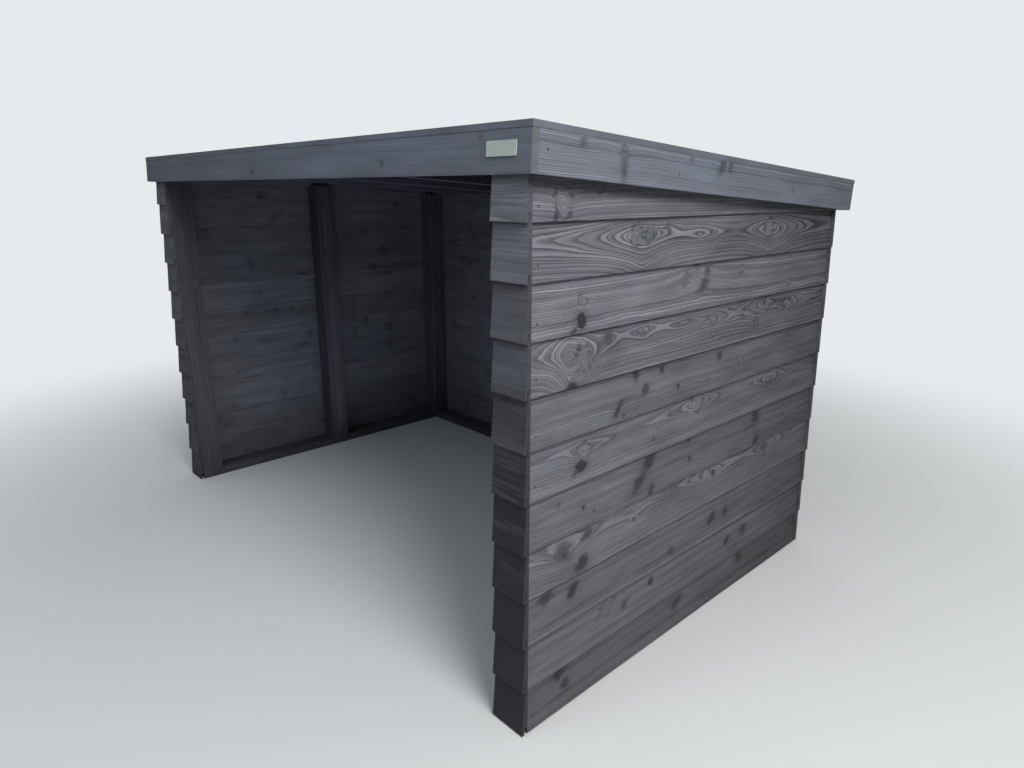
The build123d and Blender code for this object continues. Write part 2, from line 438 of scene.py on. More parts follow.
def stain_wood(g, shader, grain, look, figure=1.0, tone=0.0, shade=0.0):
    """Stain over the grain: soft early wood takes it and goes dark, hard late wood stays paler."""
    share = g.plus(
        g.times(grain["Late"], look["contrast"], figure),
        g.times(grain["Line"], LINE_STAIN * look["contrast"], figure),
        g.swing(grain["Fibre"], look["fibre"]),
        g.swing(grain["Patch"], look["patch"]),
        tone,
        g.times(grain["Core"], shade, CORE_STAIN),
        g.times(grain["Halo"], g.maths("MAXIMUM", g.times(shade, -1.0), 0.0), HALO_STAIN),
        g.times(grain["Rim"], g.ease(shade, *RIM_STEP, *RIM_STAIN)),
    )
    colour = g.mix(g.ease(share, *DARK_STEP), look["pit"], look["dark"])
    colour = g.mix(g.ease(share, *PALE_STEP), colour, look["pale"])
    tint = g.mix(g.ease(grain["Tint"], *TINT_STEP), COOL_TINT, WARM_TINT)
    g.put(g.vector("MULTIPLY", colour, tint), shader.inputs["Base Color"])
    rough = g.ease(grain["Fibre"], *FIBRE_STEP, look["rough"] + ROUGHER, look["rough"] - SMOOTHER)
    g.put(rough, shader.inputs["Roughness"])
    shader.inputs["Specular IOR Level"].default_value = look["gloss"]
    g.put(g.bump(grain["Height"], look["relief"]), shader.inputs["Normal"])


def grain_of(g, log, ring, curl, swell=0.0, reach=KNOTLESS, shade=0.0):
    """The grain at this place in the log, straight and without knots unless more is given."""
    node = g.add("ShaderNodeGroup", node_tree=wood_grain)
    given = dict(Log=log, Ring=ring, Curl=curl, Swell=swell, Reach=reach, Shade=shade)
    for name, value in given.items():
        g.put(value, node.inputs[name])
    return node.outputs


def board_material(name, look):
    """Wood for a piece whose points carry their place in the log and their board's own character."""
    material, g, shader = new_material(name)
    flow = {field: g.attribute(field) for field in ("ring", "curl", "swell", "reach", "shade")}
    grain = grain_of(g, g.attribute("log", "Vector"), **flow)
    stain_wood(g, shader, grain, look, g.attribute("figure"), g.attribute("tone"), flow["shade"])
    return material


# Straight timbers and sheets: how far their rings wander, and how wide they are

TIMBER_CURL = 0.6
TIMBER_RING = 0.0045
SHEET_RING = 0.012


def timber_material(name, look, run, pith, ring):
    """Wood for a straight timber: run is its long axis, pith a point on its log's axis."""
    material, g, shader = new_material(name)
    x, y, z = g.split(g.vector("SUBTRACT", g.object_point(), tuple(pith)))
    order = {"X": (x, y, z), "Y": (y, x, z), "Z": (z, x, y)}[run]
    stain_wood(g, shader, grain_of(g, g.join(*order), ring, TIMBER_CURL), look)
    return material


# Plain coats: their mottling and their grit

MOTTLE_SCALES = (6.0, 6.0, 6.0)
MOTTLE_STEP = (0.3, 0.7)
MOTTLE_ROUGH = 0.06
GRIT_SCALES = (120.0, 120.0, 120.0)


def plain_material(name, colour, rough, metallic=0.0, relief=0.0002, spread=0.12):
    """A coat or sheet of one colour, with faint mottling and a fine grain."""
    material, g, shader = new_material(name)
    point = g.object_point()
    mottle = g.pattern(point, MOTTLE_SCALES, detail=4.0)
    darker, paler = (tuple(part * (1 + change) for part in colour) for change in (-spread, spread))
    g.put(g.mix(g.ease(mottle, *MOTTLE_STEP), darker, paler), shader.inputs["Base Color"])
    uneven = g.ease(mottle, *MOTTLE_STEP, rough - MOTTLE_ROUGH, rough + MOTTLE_ROUGH)
    g.put(uneven, shader.inputs["Roughness"])
    shader.inputs["Metallic"].default_value = metallic
    g.put(g.bump(g.pattern(point, GRIT_SCALES), relief), shader.inputs["Normal"])
    return material


# The grain of each board

RANDOM_GRAIN = dict(
    pith_height=(-0.10, 0.30), pith_depth=(0.045, 0.12), ring=(0.0045, 0.0065),
    figure=(0.45, 1.0), tone=(-0.06, 0.10), start=(0, 50),
)
WHORL_START = (0.05, 0.5)
WHORL_GAP = (0.25, 0.65)
WHORL_SPREAD = 0.04
MOST_KNOTS = 3
KNOT_CORE = (0.008, 0.022)
KNOT_SHADES = (-0.8, -0.5, 0.0, 0.2)
KNOT_STRETCH = (0.8, 1.5)
KNOT_LEAN = (-0.6, 0.6)

# Shares: of the board's height, and of the knot's core
KNOT_HEIGHT = (0.1, 0.95)
KNOT_BULGE = (0.3, 1.0)

# A bulge in the rings: how wide and tall it is to its depth, and the form of its slopes
BULGE_WIDE = 3.6
BULGE_TALL = 1.4
BULGE_ROUND = 1.3
BULGE_SOFT = 0.1

# The plainer face of a board, and how its figure and its knots show
PLAIN_DEPTH = 0.001
PLAIN_FIGURE = 0.3
PLAIN_SHADE = -0.25


# A grain's fade is painted shade: how much its tone darkens along the board, with the square of the
# distance.
def board_grain(rng, curl=0.5, fade=0.0, knots=(), **given):
    """A board's place in its log and its character. What isn't given is drawn at random."""
    drawn = {name: rng.uniform(*span) for name, span in RANDOM_GRAIN.items()}
    return dict(drawn, curl=curl, fade=fade, knots=knots, **given)


def knot(place, height, core, bulge, shade, wide=None, tall=None, stretch=1.0, lean=0.0):
    """A knot: its place along the board and height on it, the radius of its core, how far the
    rings bulge round it and over what width and height, its shade from black at -1 to pale at 1,
    how much taller than wide its core is, and how far that leans."""
    return dict(
        place=place, height=height, core=core, bulge=bulge, shade=shade, stretch=stretch, lean=lean,
        wide=wide or BULGE_WIDE * bulge, tall=tall or BULGE_TALL * bulge,
    )


def random_knots(rng, length, height):
    """Whorls of one to three knots along a board."""
    knots = []
    place = rng.uniform(*WHORL_START)
    while place < length:
        for _ in range(rng.integers(1, MOST_KNOTS + 1)):
            core = rng.uniform(*KNOT_CORE)
            knots.append(knot(
                place=place + rng.normal(0, WHORL_SPREAD),
                height=rng.uniform(*KNOT_HEIGHT) * height,
                core=core,
                bulge=core * rng.uniform(*KNOT_BULGE),
                shade=rng.choice(KNOT_SHADES),
                stretch=rng.uniform(*KNOT_STRETCH),
                lean=rng.uniform(*KNOT_LEAN),
            ))
        place += rng.uniform(*WHORL_GAP)
    return knots


def soft_abs(value):
    """The size of a value, rounded off near zero."""
    return np.sqrt(value ** 2 + BULGE_SOFT ** 2) - BULGE_SOFT


def knot_fields(along, across, knots):
    """How far the rings bulge round the knots, and how many radii off the nearest core is."""
    swell = np.zeros(len(along))
    reach = np.full(len(along), KNOTLESS)
    shade = np.zeros(len(along))
    for one in knots:
        dx, dz = along - one["place"], across - one["height"]
        if one["bulge"] > 0:
            sides = (soft_abs(dx / one["wide"]), soft_abs(dz / one["tall"]))
            out = sides[0] ** BULGE_ROUND + sides[1] ** BULGE_ROUND
            swell -= one["bulge"] * np.exp(-out ** (1 / BULGE_ROUND))
        if one["core"] > 0:
            away = np.hypot(dx - one["lean"] * dz, dz / one["stretch"]) / one["core"]
            shade = np.where(away < reach, one["shade"], shade)
            reach = np.minimum(reach, away)
    return swell, reach, shade


def grain_fields(along, across, depth, grain):
    """Everything that the wood needs on each point of a board. The face at no depth is plainer: it
    is the inner face of a lapped board, and the front or left one of a fascia."""
    swell, reach, shade = knot_fields(along, across, grain["knots"])
    plain = depth < PLAIN_DEPTH
    log = np.stack([
        along + grain["start"],
        across - grain["pith_height"],
        depth + grain["pith_depth"],
    ], axis=1)
    return dict(
        log=log,
        swell=swell,
        reach=reach,
        ring=np.full(len(along), grain["ring"]),
        curl=np.full(len(along), grain["curl"]),
        figure=np.where(plain, PLAIN_FIGURE, 1.0) * grain["figure"],
        # Painted shade: the tone darkens along the board with the square of the distance, by the grain's
        # fade.
        tone=grain["tone"] - grain["fade"] * along ** 2,
        shade=np.where(plain, PLAIN_SHADE, shade),
    )


# Meshes made of closed sweeps

# Sections across a knot, how many radii and how much more they reach, and how close any two may be
KNOT_SECTIONS = 9
KNOT_SECTIONS_REACH = 1.8
KNOT_SECTIONS_EXTRA = 0.002
SECTION_FROM_END = 0.004
SECTION_GAP = 0.0035
SMOOTH_ANGLE = math.radians(35.0)


def stations(length, step, knots):
    """Distances along a board, closer together across its knots."""
    places = [np.linspace(0.0, length, max(2, round(length / step)) + 1)]
    for one in knots:
        reach = KNOT_SECTIONS_REACH * one["core"] + KNOT_SECTIONS_EXTRA
        close = np.linspace(one["place"] - reach, one["place"] + reach, KNOT_SECTIONS)
        places.append(close[(close > SECTION_FROM_END) & (close < length - SECTION_FROM_END)])
    places = np.unique(np.concatenate(places))
    keep = [0]
    for index in range(1, len(places) - 1):
        if places[index] - places[keep[-1]] > SECTION_GAP:
            keep.append(index)
    return np.append(places[keep], length)


class Solid:
    """Closed sweeps gathered into one mesh, with the values that their wood needs on each point."""

    def __init__(self):
        self.points, self.faces, self.fields = [], [], {}
        self.count = 0
        self.caps = []

    def add_sweep(self, grid, fields=None):
        """grid is sections by loop points by three; the loop closes and both ends are capped."""
        sections, loop = grid.shape[:2]
        base = self.count + np.arange(sections * loop).reshape(sections, loop)
        after = np.roll(base, -1, axis=1)
        quads = np.stack([base[:-1], after[:-1], after[1:], base[1:]], axis=-1).reshape(-1, 4)
        self.faces += quads.tolist()
        self.caps += [len(self.faces), len(self.faces) + 1]
        self.faces.append(base[0][::-1].tolist())
        self.faces.append(base[-1].tolist())
        self.points.append(grid.reshape(-1, 3))
        for name, value in (fields or {}).items():
            self.fields.setdefault(name, []).append(value)
        self.count += sections * loop

    def build(self, name, material, end_material=None):
        mesh = bpy.data.meshes.new(name)
        mesh.from_pydata(np.concatenate(self.points).tolist(), [], self.faces)
        for field, values in self.fields.items():
            data = np.concatenate(values)
            kind, part = ("FLOAT", "value") if data.ndim == 1 else ("FLOAT_VECTOR", "vector")
            mesh.attributes.new(field, kind, "POINT").data.foreach_set(part, data.ravel())
        work = bmesh.new()
        work.from_mesh(mesh)
        bmesh.ops.recalc_face_normals(work, faces=work.faces)
        work.to_mesh(mesh)
        work.free()
        mesh.shade_smooth()
        mesh.set_sharp_from_angle(angle=SMOOTH_ANGLE)
        thing = bpy.data.objects.new(name, mesh)
        bpy.context.scene.collection.objects.link(thing)
        mesh.materials.append(material)
        if end_material:
            mesh.materials.append(end_material)
            for cap in self.caps:
                mesh.polygons[cap].material_index = 1
        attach(thing, "root")
        return thing


# Lapped boards

# Turns round the eased lower edge, and rows of points as shares of the lap and of the free height
EASE_TURNS = (0, 30, 60, 90)
LAP_ROWS = (0.35, 0.65)
BACK_ROWS = (0.75, 0.5, 0.25, 0.0)

# A wall with painted shade, darker towards the bottom: how faint its figure is, and how late its tone
# changes on the way up
TONED_FIGURE = 0.4
PAINTED_SHADE_CURVE = 1.6
SEEDS_TO_A_WALL = 100


class Wall:
    """One clad plane: its boards run along it from start, stand outward of it and rise from foot."""

    def __init__(self, node, side):
        low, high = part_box(node)
        start, outward, along = {
            "right": ((low.x, low.y, 0), (1, 0, 0), (0, 1, 0)),
            "left": ((high.x, low.y, 0), (-1, 0, 0), (0, 1, 0)),
            "back": ((low.x, low.y, 0), (0, 1, 0), (1, 0, 0)),
            "front": ((low.x, high.y, 0), (0, -1, 0), (1, 0, 0)),
        }[side]
        self.start, self.outward, self.along = (np.array(v, float) for v in (start, outward, along))
        self.axis = along.index(1)
        self.length = high[self.axis] - low[self.axis]
        self.foot = low.z
        self.courses = math.ceil((high.z - low.z - BOARD_LAP) / board_cover)
        # A side wall's top boards are cut to the roof's fall, another wall's level just below it
        fall = math.tan(ROOF_SLOPE)
        self.fall, drop = (fall, 0.0) if side in ("right", "left") else (0.0, fall * BOARD_THICK)
        self.ceiling = high.z - drop

    def top(self, distance):
        """Height of the boards' top edge, this far along."""
        return self.ceiling - distance * self.fall

    def place(self, along, out, height):
        """Points from how far along the wall they are, how far outward, and how high."""
        return (
            self.start
            + np.multiply.outer(along, self.along)
            + np.multiply.outer(out, self.outward)
            + np.multiply.outer(height, UP)
        )


def board_section(row_step):
    """Points round a lapped board: a fixed height, a share of the height left above the rebate,
    the side that the point is on, and how far it is eased back from that."""
    points = [(0.0, 0.0, "rebate", 0.0)]
    for turn in map(math.radians, EASE_TURNS):
        height, inset = BOARD_EASE * (1 - math.cos(turn)), BOARD_EASE * (1 - math.sin(turn))
        points.append((height, 0.0, "face", inset))
    points += [(share * rebate_height, 0.0, "face", 0.0) for share in LAP_ROWS]
    rows = max(2, round((BOARD_HEIGHT - rebate_height) / row_step))
    points += [(rebate_height, row / rows, "face", 0.0) for row in range(rows)]
    points += [(rebate_height, 1.0, "face", BOARD_TOP_EASE), (rebate_height, 1.0, "back", 0.0)]
    points += [(rebate_height, share, "back", 0.0) for share in BACK_ROWS]
    points.append((rebate_height, 0.0, "rebate", 0.0))
    return points


class Board:
    """One lapped board: its foot, the slight bow and cup that it has taken, and its grain."""

    def __init__(self, wall, course, rng, grain):
        self.wall, self.grain = wall, grain
        self.foot = wall.foot + course * board_cover
        self.phases = rng.uniform(0, 2 * math.pi, 3)

    def face(self, along, height):
        """Distance of the outer face from the wall's plane."""
        places = (along, along, height)
        slow_bow, quick_bow, cup = (
            rise * np.sin(rate * place + phase)
            for (rise, rate), place, phase in zip(BOARD_WAVES, places, self.phases)
        )
        return BOARD_THICK - board_taper * height + (slow_bow + quick_bow) + cup - BOARD_SET_BACK

    def add_to(self, solid, step, row_step):
        """Sweep the section along the board, cut off where the roof is lower."""
        fixed, share, side, inset = (np.array(part) for part in zip(*board_section(row_step)))
        places = stations(self.wall.length, step, self.grain["knots"])
        top = np.minimum(BOARD_HEIGHT, self.wall.top(places) - self.foot)[:, None]
        height = fixed + share * (top - rebate_height)
        along = np.repeat(places[:, None], len(side), axis=1)
        face = self.face(along, height) - inset
        rebate = rebate_depth - board_taper * height
        out = np.select([side == "face", side == "rebate"], [face, rebate], 0.0)
        grid = self.wall.place(along, out, self.foot + height)
        solid.add_sweep(grid, grain_fields(along.ravel(), height.ravel(), out.ravel(), self.grain))


def clad(name, node, side, step, row_step, seed, materials, grains=None, fade=0.0, painted_shade_tones=None):
    """Boards over one wall, standing for its plain node. The grain of each is given or random.
    Where two tones are given, they are painted shade, darker towards the bottom: the lowest and the
    highest board's tone, and the figure is faint.
    Gives the boards back, for their nails."""
    wall = Wall(node, side)
    solid = Solid()
    boards = []
    for course in range(wall.courses):
        rng = np.random.default_rng(seed * SEEDS_TO_A_WALL + course)
        if grains:
            grain = board_grain(rng, fade=fade, **grains[course])
        else:
            grain = board_grain(rng, knots=random_knots(rng, wall.length, BOARD_HEIGHT))
        # Painted shade: the tone rises from the lowest board's to the highest board's, darker towards
        # the bottom
        if painted_shade_tones:
            share = (course / (wall.courses - 1)) ** PAINTED_SHADE_CURVE
            grain["tone"] = painted_shade_tones[0] + (painted_shade_tones[1] - painted_shade_tones[0]) * share
            grain["figure"] *= TONED_FIGURE
        board = Board(wall, course, rng, grain)
        board.add_to(solid, step, row_step)
        boards.append(board)
    piece = solid.build(name, *materials)
    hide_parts(node)
    return boards


# The near wall's boards, from the ground up, as they show in the photograph

NEAR_WALL = (
    dict(pith_height=-0.05, pith_depth=0.06, ring=0.0040, figure=0.55, tone=-0.08, knots=(
        knot(0.170, 0.150, 0.026, 0.010, -0.45, lean=0.5),
        knot(0.190, 0.090, 0.018, 0.010, -0.4),
        knot(0.880, 0.110, 0.024, 0.012, -0.4, lean=0.6),
        knot(1.380, 0.120, 0.022, 0.012, -0.4),
    )),
    dict(pith_height=0.24, pith_depth=0.05, ring=0.0042, figure=0.60, tone=0.08, knots=(
        knot(0.410, 0.125, 0.030, 0.014, 0.0, lean=0.5),
        knot(0.520, 0.096, 0.018, 0.010, -0.4, lean=0.7),
        knot(0.680, 0.120, 0.013, 0.010, -0.5),
        knot(1.250, 0.092, 0.016, 0.010, -0.4, lean=0.6),
        knot(1.390, 0.100, 0.018, 0.012, -0.4),
    )),
    dict(pith_height=-0.04, pith_depth=0.08, ring=0.0038, figure=0.60, tone=0.04, knots=(
        knot(0.090, 0.140, 0.026, 0.010, -0.35, lean=0.6),
        knot(0.220, 0.110, 0.020, 0.012, -0.5, lean=0.4),
        knot(0.800, 0.045, 0.014, 0.006, -0.35),
        knot(1.100, 0.085, 0.022, 0.012, -0.4, lean=0.6),
        knot(1.210, 0.080, 0.018, 0.010, -0.35),
    )),
    dict(pith_height=0.145, pith_depth=0.060, ring=0.0055, figure=0.60, curl=0.7, tone=0.16, knots=(
        knot(0.161, 0.104, 0.030, 0.020, -0.40, wide=0.09, tall=0.05, stretch=0.9, lean=-0.5),
        knot(0.259, 0.036, 0.026, 0.014, -0.55, lean=0.4),
        knot(0.287, 0.136, 0.017, 0.010, -0.40),
        knot(0.217, 0.118, 0.010, 0.006, 0.15),
        knot(0.548, 0.101, 0.008, 0.014, -0.5, wide=0.12, tall=0.02),
        knot(0.200, 0.0, 0.0, 0.030, 0.0, wide=0.10, tall=0.07),
        knot(1.030, 0.134, 0.026, 0.034, 0.2),
        knot(1.090, 0.125, 0.012, 0.005, -0.6),
        knot(1.530, 0.125, 0.018, 0.034, -0.2),
    )),
    dict(pith_height=0.26, pith_depth=0.10, ring=0.0040, figure=0.60, curl=0.6, tone=0.05, knots=(
        knot(0.625, 0.133, 0.027, 0.014, -0.42, lean=0.4),
        knot(0.565, 0.075, 0.024, 0.012, -0.38, stretch=1.4, lean=0.8),
        knot(0.636, 0.021, 0.017, 0.008, -0.4, lean=0.3),
        knot(0.259, 0.073, 0.006, 0.004, -0.7),
        knot(0.312, 0.045, 0.006, 0.004, -0.7, stretch=0.7),
        knot(0.140, 0.119, 0.009, 0.004, -0.3),
        knot(0.892, 0.077, 0.009, 0.004, -0.3),
        knot(0.885, 0.160, 0.016, 0.006, -0.3),
        knot(1.410, 0.133, 0.024, 0.012, -0.45),
        knot(1.420, 0.023, 0.018, 0.006, -0.4, lean=0.5),
        knot(1.700, 0.090, 0.018, 0.010, 0.1),
    )),
    dict(pith_height=0.125, pith_depth=0.050, ring=0.0044, figure=0.65, curl=0.7, tone=0.15, knots=(
        knot(0.256, 0.108, 0.024, 0.016, 0.12, wide=0.06, tall=0.03),
        knot(0.240, 0.060, 0.0235, 0.012, -0.80, stretch=0.72),
        knot(0.212, 0.046, 0.012, 0.0, -0.5, lean=0.9),
        knot(0.520, 0.105, 0.0, 0.008, 0.0, wide=0.20, tall=0.022),
        knot(0.927, 0.134, 0.026, 0.026, 0.20, wide=0.10, tall=0.05),
        knot(0.890, 0.165, 0.014, 0.0, -0.5),
        knot(0.640, 0.055, 0.007, 0.003, -0.4),
        knot(1.500, 0.130, 0.024, 0.022, 0.2),
        knot(1.570, 0.098, 0.014, 0.012, 0.1),
    )),
    dict(pith_height=0.23, pith_depth=0.09, ring=0.0038, figure=0.65, curl=0.6, tone=0.06, knots=(
        knot(0.417, 0.043, 0.013, 0.012, -0.45, stretch=1.8, lean=0.7),
        knot(0.450, 0.020, 0.010, 0.0, -0.25),
        knot(0.520, 0.145, 0.016, 0.012, -0.45),
        knot(0.576, 0.089, 0.016, 0.010, -0.45, lean=0.3),
        knot(0.674, 0.142, 0.011, 0.006, -0.45),
        knot(0.773, 0.061, 0.008, 0.005, -0.5),
        knot(1.060, 0.130, 0.014, 0.010, -0.4),
        knot(1.220, 0.088, 0.016, 0.012, 0.2),
        knot(1.660, 0.110, 0.020, 0.014, 0.2),
    )),
    dict(pith_height=0.118, pith_depth=0.060, ring=0.0050, figure=0.76, curl=0.9, tone=0.08, knots=(
        knot(0.240, 0.085, 0.032, 0.030, 0.12, wide=0.055, tall=0.045),
        knot(0.170, -0.010, 0.0, 0.075, 0.0, wide=0.055, tall=0.120),
        knot(0.180, 0.000, 0.020, 0.0, -0.7, stretch=0.8),
        knot(0.365, 0.135, 0.018, 0.012, -0.3),
        knot(0.545, 0.135, 0.014, 0.018, -0.1),
        knot(0.990, 0.112, 0.012, 0.012, 0.1),
        knot(0.780, 0.128, 0.0, 0.014, 0.0, wide=0.16, tall=0.022),
        knot(1.320, 0.058, 0.016, 0.012, 0.0),
        knot(1.420, 0.135, 0.024, 0.018, 0.2),
        knot(1.600, 0.108, 0.024, 0.020, 0.2),
    )),
    dict(pith_height=-0.07, pith_depth=0.05, ring=0.0040, figure=1.0, curl=0.8, tone=0.08, knots=(
        knot(0.226, 0.102, 0.015, 0.010, 0.1, lean=-0.4),
        knot(0.219, 0.039, 0.0165, 0.007, -1.0, stretch=1.1),
        knot(0.185, 0.010, 0.012, 0.0, -0.4, stretch=0.8, lean=0.9),
        knot(0.790, 0.125, 0.022, 0.026, -0.15, lean=0.4),
        knot(0.855, 0.158, 0.018, 0.022, -0.2),
        knot(0.905, 0.092, 0.022, 0.022, -0.35, lean=0.5),
        knot(0.925, 0.135, 0.016, 0.020, -0.35),
        knot(1.175, 0.120, 0.014, 0.012, 0.2),
        knot(1.580, 0.040, 0.015, 0.008, 0.1),
    )),
    dict(pith_height=0.107, pith_depth=0.075, ring=0.0052, figure=0.84, curl=0.3, tone=0.02, knots=(
        knot(0.483, 0.116, 0.026, 0.030, 0.12, wide=0.24, tall=0.055),
        knot(0.553, 0.116, 0.022, 0.014, 0.05, lean=0.4),
        knot(0.656, 0.135, 0.014, 0.012, -0.2),
        knot(0.510, -0.030, 0.0, 0.060, 0.0, wide=0.12, tall=0.090),
        knot(0.860, 0.104, 0.0, 0.028, 0.0, wide=0.16, tall=0.038),
        knot(1.360, 0.108, 0.030, 0.026, 0.15, wide=0.20, tall=0.060),
        knot(1.370, -0.020, 0.0, 0.045, 0.0, wide=0.13, tall=0.085),
        knot(1.415, 0.112, 0.014, 0.006, 0.1),
    )),
    dict(pith_height=0.200, pith_depth=0.060, ring=0.0058, figure=0.70, curl=0.3, tone=0.13, knots=(
        knot(0.128, 0.052, 0.030, 0.022, 0.15, wide=0.060, tall=0.045, stretch=1.1),
        knot(0.100, 0.020, 0.009, 0.0, -0.45, stretch=2.5, lean=0.3),
        knot(0.290, 0.100, 0.018, 0.014, 0.0),
    )),
)
# Painted shade: the near wall's boards darken towards its back end, with the square of the distance
# along it
NEAR_WALL_PAINTED_SHADE = 0.11


# Fascia boards

# Distances between points along a fascia and round its section, and turns round an eased corner
FASCIA_STEP = 0.016
FASCIA_ROW_STEP = 0.010
CORNER_TURNS = (0, 45, 90)

FASCIA_KNOTS_SIDE = (
    knot(0.170, 0.100, 0.013, 0.008, -0.25),
    knot(0.357, 0.060, 0.017, 0.012, -0.28, wide=0.030, tall=0.080, stretch=3.0, lean=-0.12),
    knot(0.710, 0.100, 0.012, 0.006, -0.25),
    knot(0.900, 0.095, 0.016, 0.008, -0.32, stretch=1.8, lean=0.4),
    knot(0.955, 0.104, 0.013, 0.006, -0.28, stretch=1.6),
    knot(1.450, 0.050, 0.012, 0.008, -0.2),
)
FASCIA_KNOTS_FRONT = (
    knot(0.700, 0.090, 0.009, 0.008, -0.3),
    knot(1.450, 0.030, 0.009, 0.008, -0.3),
    knot(2.460, 0.040, 0.010, 0.010, -0.3),
    knot(2.950, 0.100, 0.008, 0.006, -0.2),
)
FINE_GRAIN = dict(pith_height=0.26, pith_depth=0.05, ring=0.0056, figure=0.9, curl=0.6)
ACROSS_GRAIN = dict(FINE_GRAIN, knots=FASCIA_KNOTS_FRONT, tone=0.12)
SIDE_GRAIN = dict(FINE_GRAIN, knots=FASCIA_KNOTS_SIDE)


def eased_rectangle(width, height, ease, step):
    """Points round a rectangle with eased corners, close enough along its sides for its grain."""
    corners = ((width - ease, ease, -90), (width - ease, height - ease, 0),
               (ease, height - ease, 90), (ease, ease, 180))
    arcs = []
    for x, y, start in corners:
        turns = [math.radians(start + turn) for turn in CORNER_TURNS]
        arcs.append([(x + ease * math.cos(turn), y + ease * math.sin(turn)) for turn in turns])
    points = []
    for arc, following in zip(arcs, arcs[1:] + arcs[:1]):
        points += arc
        (x0, y0), (x1, y1) = arc[-1], following[0]
        pieces = max(1, round(math.hypot(x1 - x0, y1 - y0) / step))
        points += [(x0 + (x1 - x0) * k / pieces, y0 + (y1 - y0) * k / pieces) for k in range(1, pieces)]
    return np.array(points)


def fascia_start(node, x):
    """The lower front edge of a fascia's place, at this distance across."""
    low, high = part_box(node)
    return np.array([x, low.y, high.z - FASCIA_HEIGHT * math.cos(ROOF_SLOPE)])


def fascia(name, node, run, seed, materials, grain):
    """One fascia board, which runs along X across the roof or along Y down its slope."""
    low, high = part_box(node)
    if run == "X":
        along, out, length = ACROSS, DOWN_ROOF, high.x - low.x
    else:
        covered = FASCIA_HEIGHT * math.sin(ROOF_SLOPE)
        along, out, length = DOWN_ROOF, ACROSS, (high.y - low.y - covered) / math.cos(ROOF_SLOPE)
    grain = board_grain(np.random.default_rng(seed), **grain)
    loop = eased_rectangle(FASCIA_THICK, FASCIA_HEIGHT, FASCIA_EASE, FASCIA_ROW_STEP)
    places = stations(length, FASCIA_STEP, grain["knots"])
    place = np.repeat(places[:, None], len(loop), axis=1)
    depth, rise = (np.repeat(loop[None, :, k], len(places), axis=0) for k in (0, 1))
    grid = (
        fascia_start(node, low.x)
        + np.multiply.outer(place, along)
        + np.multiply.outer(depth, out)
        + np.multiply.outer(rise, OFF_ROOF)
    )
    solid = Solid()
    solid.add_sweep(grid, grain_fields(place.ravel(), rise.ravel(), depth.ravel(), grain))
    piece = solid.build(name, *materials)
    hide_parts(node)


# Nails and screws

def add_head(solid, centre, outward, along, rng, rise):
    """The small domed head of a nail or screw, standing this proud of the surface."""
    rings = [(1.0, -HEAD_SUNK)] + [(size, share * rise) for size, share in HEAD_DOME]
    turn = np.linspace(0, 2 * math.pi, HEAD_SIDES, endpoint=False) + rng.uniform(0, 1)
    around = np.cos(turn)[:, None] * along + np.sin(turn)[:, None] * np.cross(outward, along)
    loops = [centre + outward * lift + HEAD_RADIUS * size * around for size, lift in rings]
    solid.add_sweep(np.array(loops))


def nail_distance(wall, post):
    """How far along the wall a post's nails are: on its middle, or near the boards' end at a corner."""
    low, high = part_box(post)
    middle = (low[wall.axis] + high[wall.axis]) / 2 - wall.start[wall.axis]
    if middle < CORNER_POST_REACH:
        return NAIL_FROM_END
    if middle > wall.length - CORNER_POST_REACH:
        return wall.length - NAIL_FROM_END
    return middle


def nail_boards(name, boards, posts, material, seed):
    """A nail to a board at every post behind it, where the roof leaves room."""
    solid = Solid()
    rng = np.random.default_rng(seed)
    wall = boards[0].wall
    distances = [nail_distance(wall, post) for post in posts]
    for board in boards:
        for distance in distances:
            place = distance + rng.normal(0, NAIL_SPREAD_ALONG)
            height = NAIL_HEIGHT + rng.normal(0, NAIL_SPREAD_UP)
            if board.foot + height > wall.top(place) - NAIL_FROM_ROOF:
                continue
            centre = wall.place(place, board.face(place, height), board.foot + height)
            add_head(solid, centre, wall.outward, wall.along, rng, NAIL_RISE)
    solid.build(name, material)


def nail_fascias(material, seed):
    """The two nails that show on the right fascia, and their like on the left one."""
    solid = Solid()
    rng = np.random.default_rng(seed)
    for node, way in (("fascia_right", 1.0), ("fascia_left", -1.0)):
        low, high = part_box(node)
        start = fascia_start(node, high.x if way > 0 else low.x)
        for place, height in FASCIA_NAILS:
            centre = start + place * DOWN_ROOF + height * OFF_ROOF
            add_head(solid, centre, way * ACROSS, DOWN_ROOF, rng, NAIL_RISE)
    solid.build("nails_fascias", material)


def screw_plate(material, seed):
    """Four screw heads near the plate's corners."""
    solid = Solid()
    rng = np.random.default_rng(seed)
    outward = -DOWN_ROOF
    low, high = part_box("front_plate")
    face = np.array((low + high) / 2) + outward * PLATE_THICK / 2
    side_reach = (high.x - low.x) / 2 - SCREW_FROM_END
    rise_reach = PLATE_HEIGHT / 2 - SCREW_FROM_EDGE
    for side in (-1, 1):
        for level in (-1, 1):
            centre = face + side * side_reach * ACROSS + level * rise_reach * OFF_ROOF
            add_head(solid, centre, outward, ACROSS, rng, SCREW_RISE)
    solid.build("plate_screws", material)


# Frame timbers and sheets keep their solids

TIMBER_LOOKS = dict(
    post=FRAME_LOOK, sole=FRAME_LOOK, beam=ROOF_TIMBER_LOOK, rafter=ROOF_TIMBER_LOOK,
)
TIMBER_SEED = 300
PITH_SPREAD = 0.05
DECK_PITH = (0.0, 0.3, 0.6)


def dress(node, material):
    """Give a plain solid its material."""
    mesh = nodes[node].data
    mesh.materials.clear()
    mesh.materials.append(material)


def dress_timbers():
    """Each timber is cut from its own log, with its grain along it."""
    for number, name in enumerate(sorted(nodes)):
        look = TIMBER_LOOKS.get(name.split("_")[0])
        if not look:
            continue
        low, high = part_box(name)
        run = "XYZ"[int(np.argmax(high - low))]
        rng = np.random.default_rng(TIMBER_SEED + number)
        pith = np.array((low + high) / 2) + rng.uniform(-PITH_SPREAD, PITH_SPREAD, 3)
        dress(name, timber_material(f"wood_{name}", look, run, pith, TIMBER_RING))


